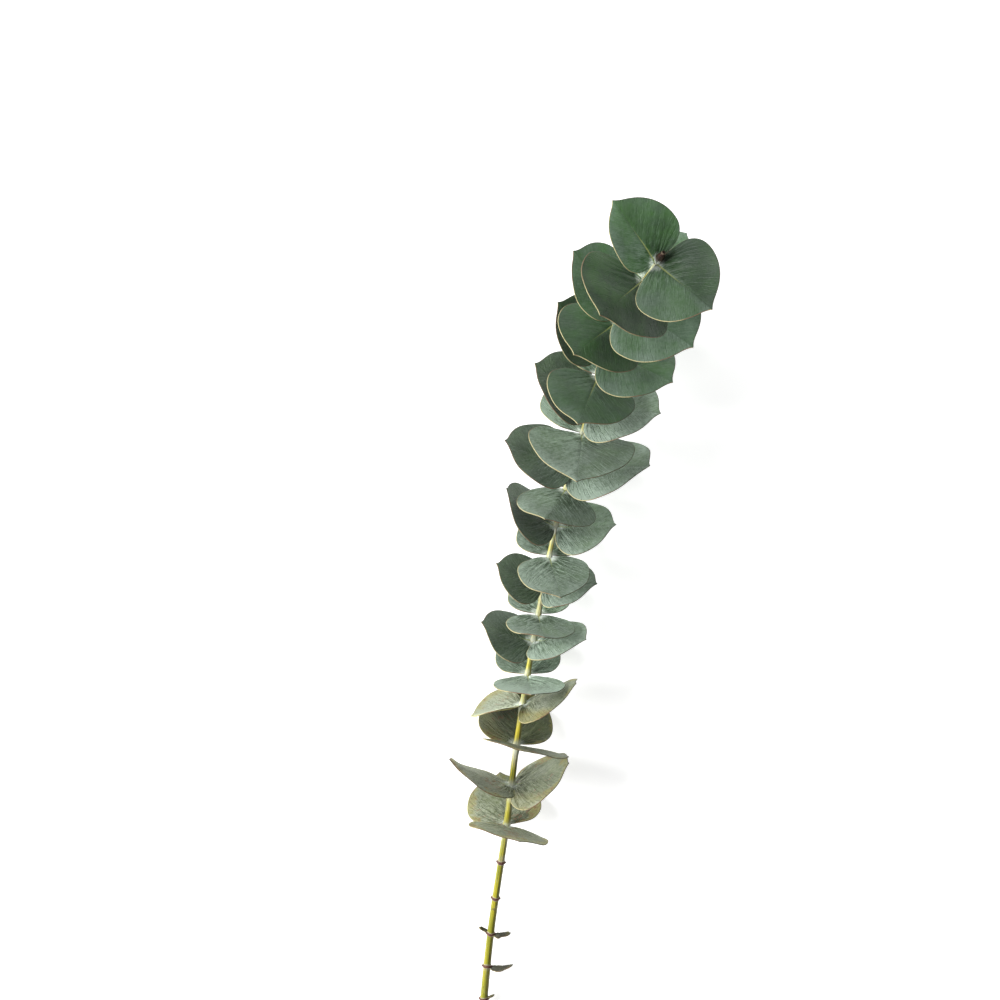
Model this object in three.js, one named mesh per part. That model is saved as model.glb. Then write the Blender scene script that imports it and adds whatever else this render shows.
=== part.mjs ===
// Eucalyptus branch, cut and lying on a flat surface.
// Millimetres. The surface is z = 0, the cut end points to -Y and the growing tip to +Y.
import * as THREE from 'three';

// ---- Stem ----
// Points the middle of the stem passes through, from the cut end to the growing tip.
const stemPoints = [
  [-44, -200, 1.75],
  [-39.3, -148, 8.3],
  [-32, -94, 15],
  [-27.5, -56, 16],
  [-22.6, -23, 17],
  [-17.7, 6, 17.7],
  [-10.2, 46, 19.3],
  [-2.2, 76, 21.7],
  [4.6, 102, 26.3],
  [12, 130.5, 36],
  [21, 153, 50.5],
  [32.6, 174.2, 73],
];
const stemBaseRadius = 1.75;
const stemTipRadius = 0.6;
const stemSides = 12;
const stemStep = 4;

// Bare nodes near the cut end, where fallen leaves left a ring.
const bareNodes = [19, 36, 52.5, 70.7, 89];
const ringHeight = 0.35;
const ringWidth = 0.9;

// ---- Leaves ----
const leafThickness = 0.6;
const stemGap = 0.35;
const lobeAngle = 88.5;
const lobeRounding = 0.75;
const lobeBack = 0.25;
const leafOffset = 0.6;
const tipRise = 0.035;
const tipAngle = 4.5;
const pressSoftness = 0.6;
const leafSegments = 16;
const leafRows = 2;

// Leaf pairs from the tip down; `at` is the distance along the stem from the cut end.
// Each leaf is [turn, spread, roll, length, width, bend, cup]:
// turn about the stem (0 faces up, 90 faces +X), spread away from the stem and roll about
// the midrib in degrees, length and width in mm, bend along the midrib in degrees, and the
// lift of the two edges in mm.
const leafPairs = [
  { at: 395, right: [52, 62, 40, 32, 40, -18, 2], left: [-96, 56, -28, 31, 34, -14, 5] },
  { at: 381, front: [-19, 82, -4, 34, 47, 8, 0], back: [165, 80, 0, 29, 38, 0, 1] },
  { at: 364.5, right: [57, 71, 30, 34, 44, -12, 0], left: [-95, 84, -6, 31, 40, 30, 0.5] },
  { at: 353, front: [-27, 98, -4, 28.5, 41.5, 0, -3], back: [155, 72, 0, 30, 36, 20, 1] },
  { at: 336.5, right: [64, 86, 20, 31, 41, 0, -1], left: [-100, 79, -22, 28.5, 37.5, 40, 2.5] },
  { at: 322.5, front: [-9, 98, -4, 33, 40, -6, 0.5], back: [172, 70, 0, 30, 36, 30, 1] },
  { at: 305.5, right: [63, 66, 28, 32, 41, -5, 0], left: [-85, 60, -22, 30, 42, 0, 3] },
  { at: 294, front: [0, 96, 6, 37, 47, -10, 4], back: [184, 80, 0, 32, 40, 38, 1] },
  { at: 280.5, right: [65, 82, 25, 35, 46, 25, -2], left: [-86, 102, -23, 31, 41, 36, 1] },
  { at: 267.5, front: [-14, 110, 2, 28, 36, 8, -4], back: [172, 78, 0, 28, 36, 45, 1] },
  { at: 249.5, right: [80, 80, 26, 25, 37, 18, -1], left: [-81, 77, -24, 28, 36, 30, -1.5] },
  { at: 235.5, front: [15, 116, 13, 28.5, 32, 14, 1], back: [184, 74, -6, 26, 30, 48, 0] },
  { at: 220.5, right: [66, 72, 28, 24, 31, 5, 0], left: [-88, 76, -28, 22, 31, 10, 0] },
  { at: 208, front: [8, 106, 6, 25, 31, 18, 0], back: [182, 76, -8, 24.5, 28, 48, 1] },
  { at: 195.5, right: [54, 71, 26, 26, 32, 0, -0.5], left: [-83, 87, -29, 24, 32, 22, -1] },
  { at: 179.5, front: [4, 95, 8, 26, 33, 6, 0], back: [182, 72, -10, 26.5, 29.5, 55, 0] },
  { at: 165.5, right: [56, 60, 22, 29, 34, 8, -3], left: [-90, 108, 0, 22, 31, -10, 4.5] },
  { at: 146, front: [17, 78, -9, 29, 41, -2, 0.5], back: [188, 66, 0, 28.5, 34.5, 50, 0] },
  { at: 127, right: [66, 68, 28, 30, 36, 20, -2], left: [-68, 81, -5, 32, 33, 22, -1.5] },
  { at: 107.5, front: [10, 81, -9, 28.5, 40, 2, -1], back: [187, 78, -12, 28, 34, 50, 0] },
];

// Torn remains of old leaves on the bare nodes, given like the leaves, with the half angle
// of the remaining blade as the last value.
const tornLeaves = [
  { name: 'torn_leaf_23_right', at: 52.5, shape: [85, 92, 30, 9, 5.5, 40, 0.5, 50] },
  { name: 'torn_leaf_23_left', at: 52.5, shape: [-95, 75, -10, 5.5, 4.5, 10, 0.3, 45] },
  { name: 'torn_leaf_24_right', at: 36, shape: [85, 100, 30, 11, 6, 60, 0.5, 50] },
  { name: 'torn_leaf_25_right', at: 19, shape: [80, 62, 10, 5, 3.4, 10, 0.2, 30] },
];

// ---- Bud ----
const budLength = 4.5;
const budRadius = 1.2;
const budGap = 0.35;
const budSides = 10;
const budRows = 6;

// ---- Surfaces ----
const leafColour = 0x5b7a66;
const youngColour = 0x3f6b46;
const stemColour = 0x9aa339;
const budColour = 0x6a5140;
const tornColour = 0x59604d;

const radians = THREE.MathUtils.degToRad;
const up = new THREE.Vector3(0, 0, 1);
const points = stemPoints.map((p) => new THREE.Vector3(...p));
const stemCurve = new THREE.CatmullRomCurve3(points, false, 'catmullrom', 0.5);
stemCurve.arcLengthDivisions = 2000;
const stemLength = stemCurve.getLength();

// Point and directions of the stem at a distance from the cut end:
// `along` follows the stem, `over` is the upward side and `side` points to +X.
function stemFrame(distance) {
  const part = THREE.MathUtils.clamp(distance / stemLength, 0, 1);
  const point = stemCurve.getPointAt(part);
  const along = stemCurve.getTangentAt(part);
  const over = up.clone().addScaledVector(along, -along.z).normalize();
  const side = along.clone().cross(over);
  return { point, along, over, side };
}

function stemRadius(distance) {
  return THREE.MathUtils.lerp(stemBaseRadius, stemTipRadius, distance / stemLength);
}

// Radius with the raised rings of the bare nodes.
function ringedRadius(distance) {
  let radius = stemRadius(distance);
  for (const node of bareNodes) {
    radius += ringHeight * Math.exp(-(((distance - node) / ringWidth) ** 2));
  }
  return radius;
}

// Closed solid from vertices and triangles that share them.
function solid(name, vertices, triangles, colour, roughness) {
  const geometry = new THREE.BufferGeometry();
  geometry.setAttribute('position', new THREE.Float32BufferAttribute(vertices.flat(), 3));
  geometry.setIndex(triangles.flat());
  geometry.computeVertexNormals();
  const material = new THREE.MeshStandardMaterial({ color: colour, roughness, metalness: 0 });
  const mesh = new THREE.Mesh(geometry, material);
  mesh.name = name;
  return mesh;
}

// Round body swept along the stem, with a flat end at both sides.
function makeStem() {
  const rows = new Set();
  for (let distance = 0; distance < stemLength; distance += stemStep) {
    rows.add(distance);
  }
  for (const node of bareNodes) {
    for (const shift of [-1.6, -0.8, 0, 0.8, 1.6]) {
      rows.add(node + shift);
    }
  }
  rows.add(stemLength);
  const crowded = (d) => bareNodes.some((node) => Math.abs(d - node) < 2.2 && d % stemStep === 0);
  const distances = [...rows].filter((d) => !crowded(d)).sort((a, b) => a - b);
  const vertices = [];
  const triangles = [];
  for (const distance of distances) {
    const { point, over, side } = stemFrame(distance);
    const radius = ringedRadius(distance);
    for (let j = 0; j < stemSides; j += 1) {
      const angle = (2 * Math.PI * j) / stemSides;
      const vertex = point.clone();
      vertex.addScaledVector(over, radius * Math.sin(angle));
      vertex.addScaledVector(side, radius * Math.cos(angle));
      vertices.push(vertex.toArray());
    }
  }
  const last = distances.length - 1;
  for (let i = 0; i < last; i += 1) {
    for (let j = 0; j < stemSides; j += 1) {
      const a = i * stemSides + j;
      const b = i * stemSides + ((j + 1) % stemSides);
      triangles.push([a, a + stemSides, b]);
      triangles.push([b, a + stemSides, b + stemSides]);
    }
  }
  for (let j = 1; j < stemSides - 1; j += 1) {
    triangles.push([0, j, j + 1]);
    triangles.push([last * stemSides, last * stemSides + j + 1, last * stemSides + j]);
  }
  return solid('stem', vertices, triangles, stemColour, 0.5);
}

// Distance from the leaf base to its edge, at an angle from the midrib: an ellipse that
// reaches back past the base, a small raised tip and two rounded lobes.
function edgeRadius(angle, length, width, inner, opening) {
  const a = width / 2;
  const b = (length * (1 + lobeBack)) / 2;
  const c = (length * (1 - lobeBack)) / 2;
  const s = Math.sin(angle);
  const k = Math.cos(angle);
  const q = (s * s) / (a * a) + (k * k) / (b * b);
  const root = Math.sqrt(Math.max(q - ((s * c) / (a * b)) ** 2, 0));
  let edge = ((c * k) / (b * b) + root) / q;
  edge *= 1 + tipRise * Math.exp(-((angle / radians(tipAngle)) ** 2));
  const w = Math.max((Math.abs(angle) / radians(opening) - lobeRounding) / (1 - lobeRounding), 0);
  return inner + (edge - inner) * Math.sqrt(Math.max(1 - w ** 2.4, 0));
}

// Function that gives the middle surface of a leaf at an angle from the midrib and a
// distance from the stem: turned, spread, rolled, bent along an arc, cupped and kept
// above the surface the branch lies on.
function leafSurface(at, shape) {
  const [turn, spread, roll, length, width, bend, cup] = shape;
  const { point, along, over, side } = stemFrame(at);
  const away = over.clone().multiplyScalar(Math.cos(radians(turn)));
  away.addScaledVector(side, Math.sin(radians(turn)));
  const out = along.clone().multiplyScalar(Math.cos(radians(spread)));
  out.addScaledVector(away, Math.sin(radians(spread)));
  const flatFace = along.clone().multiplyScalar(Math.sin(radians(spread)));
  flatFace.addScaledVector(away, -Math.cos(radians(spread)));
  const flatAcross = flatFace.clone().cross(out);
  const across = flatAcross.clone().multiplyScalar(Math.cos(radians(roll)));
  across.addScaledVector(flatFace, Math.sin(radians(roll)));
  const face = flatFace.clone().multiplyScalar(Math.cos(radians(roll)));
  face.addScaledVector(flatAcross, -Math.sin(radians(roll)));
  const curve = radians(bend) / length;
  const rest = leafThickness / 2;
  return (angle, distance) => {
    const p = leafOffset + distance * Math.cos(angle);
    const q = distance * Math.sin(angle);
    const lift = cup * (q / (width / 2)) ** 2;
    const straight = Math.abs(curve) < 1e-6;
    const x = straight ? p : Math.sin(curve * p) / curve;
    const z = straight ? 0 : (1 - Math.cos(curve * p)) / curve;
    const vertex = point.clone();
    vertex.addScaledVector(out, x - lift * Math.sin(curve * p));
    vertex.addScaledVector(face, z + lift * Math.cos(curve * p));
    vertex.addScaledVector(across, q);
    const height = vertex.z - rest;
    vertex.z = rest + (height + Math.hypot(height, pressSoftness)) / 2;
    return vertex;
  };
}

// Thin closed shell: the middle surface moved half the thickness to both sides.
function makeLeaf(name, at, shape, colour, roughness) {
  const [, spread, , length, width, , , opening = lobeAngle] = shape;
  const inner = (ringedRadius(at) + stemGap) / Math.max(Math.sin(radians(spread)), 0.5);
  const surface = leafSurface(at, shape);
  const vertices = [];
  const triangles = [];
  const rowSize = leafRows + 1;
  const sheetSize = (leafSegments + 1) * rowSize;
  for (const offset of [leafThickness / 2, -leafThickness / 2]) {
    for (let i = 0; i <= leafSegments; i += 1) {
      const angle = radians(opening) * ((2 * i) / leafSegments - 1);
      const edge = edgeRadius(angle, length, width, inner, opening);
      for (let j = 0; j <= leafRows; j += 1) {
        const distance = inner + ((edge - inner) * j) / leafRows;
        const centre = surface(angle, distance);
        const turned = surface(angle + 0.01, distance).sub(centre);
        const outward = surface(angle, distance + 0.05).sub(centre);
        const normal = outward.cross(turned).normalize();
        vertices.push(centre.addScaledVector(normal, offset).toArray());
      }
    }
  }
  // The two lobe ends shrink to a point, so their rows share one vertex.
  const index = (sheet, i, j) => {
    const closed = i === 0 || i === leafSegments;
    return sheet * sheetSize + i * rowSize + (closed ? 0 : j);
  };
  const add = (a, b, c) => {
    if (a !== b && b !== c && a !== c) {
      triangles.push([a, b, c]);
    }
  };
  const addQuad = (a, b, c, d) => {
    add(a, b, c);
    add(a, c, d);
  };
  for (let i = 0; i < leafSegments; i += 1) {
    for (let j = 0; j < leafRows; j += 1) {
      addQuad(index(0, i, j), index(0, i, j + 1), index(0, i + 1, j + 1), index(0, i + 1, j));
      addQuad(index(1, i, j), index(1, i + 1, j), index(1, i + 1, j + 1), index(1, i, j + 1));
    }
    const r = leafRows;
    addQuad(index(0, i, 0), index(0, i + 1, 0), index(1, i + 1, 0), index(1, i, 0));
    addQuad(index(0, i, r), index(1, i, r), index(1, i + 1, r), index(0, i + 1, r));
  }
  return solid(name, vertices, triangles, colour, roughness);
}

// Small egg-shaped bud that carries on the line of the stem.
function makeBud() {
  const { point, along, over, side } = stemFrame(stemLength);
  const vertices = [];
  const triangles = [];
  const foot = point.clone().addScaledVector(along, budGap);
  vertices.push(foot.toArray());
  for (let i = 1; i < budRows; i += 1) {
    const height = (budLength * (1 - Math.cos((Math.PI * i) / budRows))) / 2;
    const radius = budRadius * Math.sin((Math.PI * i) / budRows);
    for (let j = 0; j < budSides; j += 1) {
      const angle = (2 * Math.PI * j) / budSides;
      const vertex = foot.clone().addScaledVector(along, height);
      vertex.addScaledVector(over, radius * Math.sin(angle));
      vertex.addScaledVector(side, radius * Math.cos(angle));
      vertices.push(vertex.toArray());
    }
  }
  vertices.push(foot.clone().addScaledVector(along, budLength).toArray());
  const top = vertices.length - 1;
  for (let j = 0; j < budSides; j += 1) {
    const next = (j + 1) % budSides;
    triangles.push([0, 1 + j, 1 + next]);
    triangles.push([top, top - budSides + next, top - budSides + j]);
    for (let i = 0; i < budRows - 2; i += 1) {
      const a = 1 + i * budSides + j;
      const b = 1 + i * budSides + next;
      triangles.push([a, a + budSides, b]);
      triangles.push([b, a + budSides, b + budSides]);
    }
  }
  return solid('bud', vertices, triangles, budColour, 0.8);
}

const branch = new THREE.Group();
branch.name = 'eucalyptus_branch';
branch.add(makeStem());
branch.add(makeBud());
leafPairs.forEach((pair, i) => {
  const number = String(i + 1).padStart(2, '0');
  const colour = i < 6 ? youngColour : leafColour;
  for (const place of ['right', 'left', 'front', 'back']) {
    if (pair[place]) {
      branch.add(makeLeaf(`leaf_${number}_${place}`, pair.at, pair[place], colour, 0.55));
    }
  }
});
for (const torn of tornLeaves) {
  branch.add(makeLeaf(torn.name, torn.at, torn.shape, tornColour, 0.8));
}

export default branch;
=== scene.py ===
import bpy
import numpy as np
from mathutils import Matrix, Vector


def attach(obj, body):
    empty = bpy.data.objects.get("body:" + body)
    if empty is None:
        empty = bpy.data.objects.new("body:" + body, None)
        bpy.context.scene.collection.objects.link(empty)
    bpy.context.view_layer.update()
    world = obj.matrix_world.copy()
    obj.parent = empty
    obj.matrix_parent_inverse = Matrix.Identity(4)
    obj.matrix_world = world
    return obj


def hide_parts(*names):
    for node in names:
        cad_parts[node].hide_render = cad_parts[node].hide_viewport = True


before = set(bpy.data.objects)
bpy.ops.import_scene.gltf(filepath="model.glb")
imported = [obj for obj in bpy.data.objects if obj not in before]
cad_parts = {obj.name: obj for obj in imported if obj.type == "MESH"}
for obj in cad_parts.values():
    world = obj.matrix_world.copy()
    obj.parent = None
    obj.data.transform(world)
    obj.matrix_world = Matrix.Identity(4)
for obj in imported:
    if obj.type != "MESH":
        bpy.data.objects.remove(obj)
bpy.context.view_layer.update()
mm = 0.001
print("frame loaded:", len(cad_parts), "nodes")


# A closed tube of quads from a grid of points: rows run along, columns run round and close
# on themselves, and each end is closed by a fan to the middle of its last ring.
def closedGrid(name, grid, attributes):
    rows, columns = grid.shape[:2]
    points = np.vstack([grid.reshape(-1, 3), grid[0].mean(axis=0), grid[-1].mean(axis=0)])
    here = np.arange(rows * columns).reshape(rows, columns)
    onward = np.roll(here, -1, axis=1)
    quads = np.stack([here[:-1], onward[:-1], onward[1:], here[1:]], axis=-1).reshape(-1, 4)
    first = np.full(columns, rows * columns)
    fans = [np.stack([onward[0], here[0], first], axis=-1),
            np.stack([here[-1], onward[-1], first + 1], axis=-1)]
    mesh = bpy.data.meshes.new(name)
    mesh.from_pydata((points * mm).tolist(), [], quads.tolist() + np.vstack(fans).tolist())
    for label, values in attributes.items():
        full = np.vstack([values.reshape(-1, 3), values[0].mean(axis=0), values[-1].mean(axis=0)])
        layer = mesh.attributes.new(label, "FLOAT_VECTOR", "POINT")
        layer.data.foreach_set("vector", full.astype(np.float32).ravel())
    mesh.shade_smooth()
    piece = bpy.data.objects.new(name, mesh)
    bpy.context.collection.objects.link(piece)
    return piece


# A piece stands for its CAD node and takes its material.
def settle(piece, node, material):
    piece.data.materials.append(material)
    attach(piece, "root")
    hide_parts(node)


def bump(value, middle, width):
    return np.exp(-((value - middle) / width) ** 2)


def unit(vectors):
    return vectors / np.linalg.norm(vectors, axis=-1, keepdims=True)


def addNode(tree, kind, inputs=None, **settings):
    made = tree.nodes.new(kind)
    for name, value in settings.items():
        setattr(made, name, value)
    for key, value in (inputs or {}).items():
        if isinstance(value, bpy.types.NodeSocket):
            tree.links.new(value, made.inputs[key])
        else:
            made.inputs[key].default_value = value
    return made


def calculate(tree, operation, *values):
    return addNode(tree, "ShaderNodeMath", dict(enumerate(values)), operation=operation).outputs[0]


def multiply(tree, a, b):
    return calculate(tree, "MULTIPLY", a, b)


def multiplyAdd(tree, value, factor, added):
    return calculate(tree, "MULTIPLY_ADD", value, factor, added)


# Colour b laid over colour a as strongly as the share says.
def layColour(tree, share, a, b):
    made = addNode(tree, "ShaderNodeMix", {0: share, 6: a, 7: b}, data_type="RGBA")
    return made.outputs[2]


# Smooth step of a value from one range to another.
def ease(tree, value, low, high, start=0.0, end=1.0):
    made = addNode(tree, "ShaderNodeMapRange", {0: value, 1: low, 2: high, 3: start, 4: end},
                   interpolation_type="SMOOTHSTEP")
    return made.outputs[0]


def readAttribute(tree, name):
    made = addNode(tree, "ShaderNodeAttribute", attribute_name=name)
    return made.outputs["Vector"]


def splitVector(tree, vector):
    return addNode(tree, "ShaderNodeSeparateXYZ", {0: vector}).outputs[:]


def scaleVector(tree, vector, scale):
    made = addNode(tree, "ShaderNodeVectorMath", {0: vector, 1: scale}, operation="MULTIPLY")
    return made.outputs[0]


def noiseValue(tree, vector, scale, detail=2.0, roughness=0.5):
    made = addNode(tree, "ShaderNodeTexNoise",
                   {"Vector": vector, "Scale": scale, "Detail": detail, "Roughness": roughness})
    return made.outputs["Fac"]


def newGroup(name, inputs, outputs):
    group = bpy.data.node_groups.new(name, "ShaderNodeTree")
    for label, kind, value in inputs:
        socket = group.interface.new_socket(label, in_out="INPUT", socket_type=kind)
        socket.default_value = value
    for label, kind in outputs:
        group.interface.new_socket(label, in_out="OUTPUT", socket_type=kind)
    start = group.nodes.new("NodeGroupInput")
    end = group.nodes.new("NodeGroupOutput")
    return group, start, end


def newMaterial(name):
    material = bpy.data.materials.new(name)
    material.use_nodes = True
    return material, material.node_tree, material.node_tree.nodes["Principled BSDF"]


stem = {
    # middle of the stem in mm, from the cut end to the growing tip
    "points": [
        (-44, -200, 1.75), (-39.3, -148, 8.3), (-32, -94, 15), (-27.5, -56, 16),
        (-22.6, -23, 17), (-17.7, 6, 17.7), (-10.2, 46, 19.3), (-2.2, 76, 21.7),
        (4.6, 102, 26.3), (12, 130.5, 36), (21, 153, 50.5), (32.6, 174.2, 73),
    ],
    "cutRadius": 1.75,
    "tipRadius": 0.6,
    "bareNodes": (19, 36, 52.5, 70.7, 89),
    "ringHeight": 0.35,     # raised scar where a leaf pair fell
    "ringWidth": 1.0,
    "stubHeight": 0.55,     # two small points on each scar
    "swelling": 0.28,       # thickening under each leaf pair
    "swellingLength": 3.0,
    "bloomBelow": 7.0,      # mm of waxy bloom below and above each leaf pair
    "bloomAbove": 2.5,
    "fibreDepth": 0.035,
    "sides": 48,
    "step": 0.7,
    "fineStep": 0.22,       # step near the scars
    "fineReach": 2.5,
    "pointWidth": 0.16,     # of the two points, as a share of the way round
    "cutHollow": 0.25,      # how far the middle of the cut face sinks
}


# Uniform Catmull-Rom curve: a cubic between each two points, whose slope at a point is half
# the difference of its neighbours, with the end points mirrored outwards.
def smoothLine(points, count):
    p = np.vstack([2 * points[0] - points[1], points, 2 * points[-1] - points[-2]])
    place = np.linspace(0, len(points) - 1, count)
    i = np.minimum(place.astype(int), len(points) - 2)
    w = (place - i)[:, None]
    a, b, c, d = p[i], p[i + 1], p[i + 2], p[i + 3]
    m, n = (c - a) / 2, (d - b) / 2
    return b + m * w + (3 * (c - b) - 2 * m - n) * w ** 2 + (2 * (b - c) + m + n) * w ** 3


stemLine = smoothLine(np.array(stem["points"], float), 4001)
lineSteps = np.linalg.norm(np.diff(stemLine, axis=0), axis=1)
lineDistance = np.concatenate([[0], np.cumsum(lineSteps)])
stemLength = lineDistance[-1]


# Point of the stem at each distance from the cut, and its three directions: along, over
# (the upward side) and side (to +X).
def stemFrame(distance):
    def at(d):
        return np.stack([np.interp(d, lineDistance, stemLine[:, k]) for k in range(3)], axis=-1)

    d = np.clip(np.asarray(distance, float), 0.05, stemLength - 0.05)
    along = unit(at(d + 0.05) - at(d - 0.05))
    over = unit(np.array([0, 0, 1.0]) - along * along[..., 2:])
    side = np.cross(along, over)
    return at(distance), along, over, side


def plainRadius(distance):
    return np.interp(distance, [0, stemLength], [stem["cutRadius"], stem["tipRadius"]])


def ringedRadius(distance):
    rings = sum(bump(distance, node, stem["ringWidth"]) for node in stem["bareNodes"])
    return plainRadius(distance) + stem["ringHeight"] * rings


leaves = {
    "offset": 0.6,          # mm from the stem's middle to the start of the midrib
    "lobeAngle": 88.5,      # degrees from the midrib to the end of each lobe
    "lobeRounding": 0.64,   # share of that angle where a lobe starts to draw in
    "lobeBack": 0.25,       # how far the ellipse reaches behind the base, as a share of the length
    "tipRise": 0.085,       # height of the point, as a share of the radius
    "tipAngle": 4.5,
    "floorGap": 0.3,        # lowest middle surface above the floor
    "floorSoftness": 0.6,
    "baseThickness": 0.6,
    "bladeThickness": 0.34,
    "rimThickness": 0.36,
    "clasp": 0.75,          # how far into the stem the base reaches, as a share of its radius
    "ribHeight": 0.5,       # midrib under the leaf
    "ribGroove": 0.28,      # groove over the midrib
    "ribWidth": 0.75,
    "quilting": 0.13,       # blade rising between side veins near the stem
    "quiltStart": 4.0,      # mm from the stem where it is full, and where it fades
    "quiltReach": 15.0,
    "ripple": 0.35,         # wave of the margin
    "sag": 0.35,            # slow uneven waves of the blade
    "sagStart": 9.0,        # mm from the stem where they are full
    "crease": 0.35,         # share of the cup that is a fold along the midrib
    "paintedLightSide": (-0.8, -0.6, 0.0),  # margins facing this way get painted light (cream), those facing away painted shade (dark brown), their own red-brown between
    "veins": 8,             # side veins to one leaf length
    "hairlines": 1.7,       # painted hairlines to each side vein
    "noiseStep": 3.7,       # shift of the textures from one leaf to the next
    "seam": 4.0,            # mm over the midrib in which one half's brightness gives way
    "youngPairs": 6,
    "freshPairs": 16,       # the pairs after this one are old
    "segments": 112,
    "rows": 34,
    "rimRows": 7,
    # (turn, spread, roll, length, width, bend, cup) of each leaf in degrees and mm, and the
    # waxy bloom on both leaves of the pair, partly the wax itself and partly painted light: more
    # on the right leaves, which face the lamp, than on the left ones
    "pairs": [
        {"at": 395, "right": (52, 62, 40, 32, 40, -18, 2),
         "left": (-96, 56, -28, 31, 34, -14, 5), "bloom": (0.3, 0.2)},
        {"at": 381, "front": (-19, 82, -4, 34, 47, 8, 0),
         "back": (165, 80, 0, 29, 38, 0, 1), "bloom": (-0.1, 0.9)},
        {"at": 364.5, "right": (57, 71, 30, 34, 44, -12, 0),
         "left": (-95, 84, -6, 31, 40, 30, 0.5), "bloom": (0.45, 0.2)},
        {"at": 353, "front": (-27, 98, -4, 28.5, 41.5, 0, -3),
         "back": (155, 72, 0, 30, 36, 20, 1), "bloom": (0.02, 0.4)},
        {"at": 336.5, "right": (64, 86, 20, 31, 41, 0, -1),
         "left": (-100, 79, -22, 28.5, 37.5, 40, 2.5), "bloom": (0.4, -0.05)},
        {"at": 322.5, "front": (-9, 98, -4, 33, 40, -6, 0.5),
         "back": (172, 70, 0, 30, 36, 30, 1), "bloom": (0.24, 0.5)},
        {"at": 305.5, "right": (63, 66, 28, 32, 41, -5, 0),
         "left": (-85, 60, -22, 30, 42, 0, 3), "bloom": (0.7, 0.05)},
        {"at": 294, "front": (0, 96, 6, 37, 47, -10, 4),
         "back": (184, 80, 0, 32, 40, 38, 1), "bloom": (0.5, 0.8)},
        {"at": 280.5, "right": (65, 82, 25, 35, 46, 25, -2),
         "left": (-86, 102, -23, 31, 41, 36, 1), "bloom": (0.75, 0.15)},
        {"at": 267.5, "front": (-14, 110, 2, 28, 36, 8, -4),
         "back": (172, 78, 0, 28, 36, 45, 1), "bloom": (0.4, 0.7)},
        {"at": 249.5, "right": (80, 80, 26, 25, 37, 18, -1),
         "left": (-81, 77, -24, 28, 36, 30, -1.5), "bloom": (0.6, 0.05)},
        {"at": 235.5, "front": (15, 116, 13, 28.5, 32, 14, 1),
         "back": (184, 74, -6, 26, 30, 48, 0), "bloom": (0.6, 0.5)},
        {"at": 220.5, "right": (66, 72, 28, 24, 31, 5, 0),
         "left": (-88, 76, -28, 22, 31, 10, 0), "bloom": (0.8, 0.1)},
        {"at": 208, "front": (8, 106, 6, 25, 31, 18, 0),
         "back": (182, 76, -8, 24.5, 28, 48, 1), "bloom": (0.6, 0.7)},
        {"at": 195.5, "right": (54, 71, 26, 26, 32, 0, -0.5),
         "left": (-83, 87, -29, 24, 32, 22, -1), "bloom": (0.85, 0.1)},
        {"at": 179.5, "front": (4, 95, 8, 26, 33, 6, 0),
         "back": (182, 72, -10, 26.5, 29.5, 55, 0), "bloom": (1.25, 0.4)},
        {"at": 165.5, "right": (56, 60, 22, 29, 34, 8, -3),
         "left": (-90, 108, 0, 22, 31, -10, 4.5), "bloom": (0.7, 1.1)},
        {"at": 146, "front": (17, 78, -9, 29, 41, -2, 0.5),
         "back": (188, 66, 0, 28.5, 34.5, 50, 0), "bloom": (0.6, 0.1)},
        {"at": 127, "right": (66, 68, 28, 30, 36, 20, -2),
         "left": (-68, 81, -5, 32, 33, 22, -1.5), "bloom": (0.7, 0.5)},
        {"at": 107.5, "front": (10, 81, -9, 28.5, 40, 2, -1),
         "back": (187, 78, -12, 28, 34, 50, 0), "bloom": (0.7, 0.6)},
    ],
    # leaves with a sharper crease
    "folded": {"leaf_10_front": 0.7, "leaf_17_right": 0.6, "leaf_19_left": 0.6},
    # brightness of the two halves of the leaves that are darker or lighter than the rest: painted
    # light and shade on halves that face towards or away from the lamp, in part each leaf's own tone
    "shades": {
        "leaf_01_right": (0.6, 0.4), "leaf_01_left": (1.2, 2.0), "leaf_02_front": (0.9, 0.7),
        "leaf_02_back": (1.7, 1.7), "leaf_03_right": (0.7, 0.9), "leaf_03_left": (1.9, 1.7),
        "leaf_04_front": (0.8, 0.7), "leaf_04_back": (1.2, 1.2), "leaf_05_right": (0.8, 1.1),
        "leaf_06_front": (0.9, 0.8), "leaf_07_right": (0.9, 1.2), "leaf_07_left": (1.5, 1.0),
        "leaf_08_front": (1.2, 0.9), "leaf_08_back": (1.0, 1.2), "leaf_09_right": (0.9, 1.2),
        "leaf_11_right": (1.0, 1.5), "leaf_12_back": (1.0, 0.8), "leaf_14_front": (1.0, 1.2),
        "leaf_14_back": (1.9, 1.0), "leaf_15_right": (1.1, 1.2), "leaf_16_front": (1.1, 1.4),
        "leaf_16_back": (1.0, 0.8), "leaf_17_right": (0.7, 1.0), "leaf_17_left": (0.9, 1.7),
        "leaf_18_back": (0.9, 0.7), "leaf_19_right": (0.7, 0.9), "leaf_20_front": (1.2, 1.2),
    },
    # old leaves with a half that has yellowed at its lobe
    "yellowed": {
        "leaf_17_right": (1.0, 0.0), "leaf_17_left": (0.15, 1.0), "leaf_19_right": (0.5, 0.0),
        "leaf_18_back": (0.0, 0.3),
    },
    # leaves whose base is a wedge, by the angle of its edges from the midrib
    "wedged": {"leaf_16_front": 74.0},
    # width of the two halves of an uneven leaf
    "halves": {"leaf_01_left": (1.0, 0.8), "leaf_20_front": (1.0, 0.87)},
}


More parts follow.
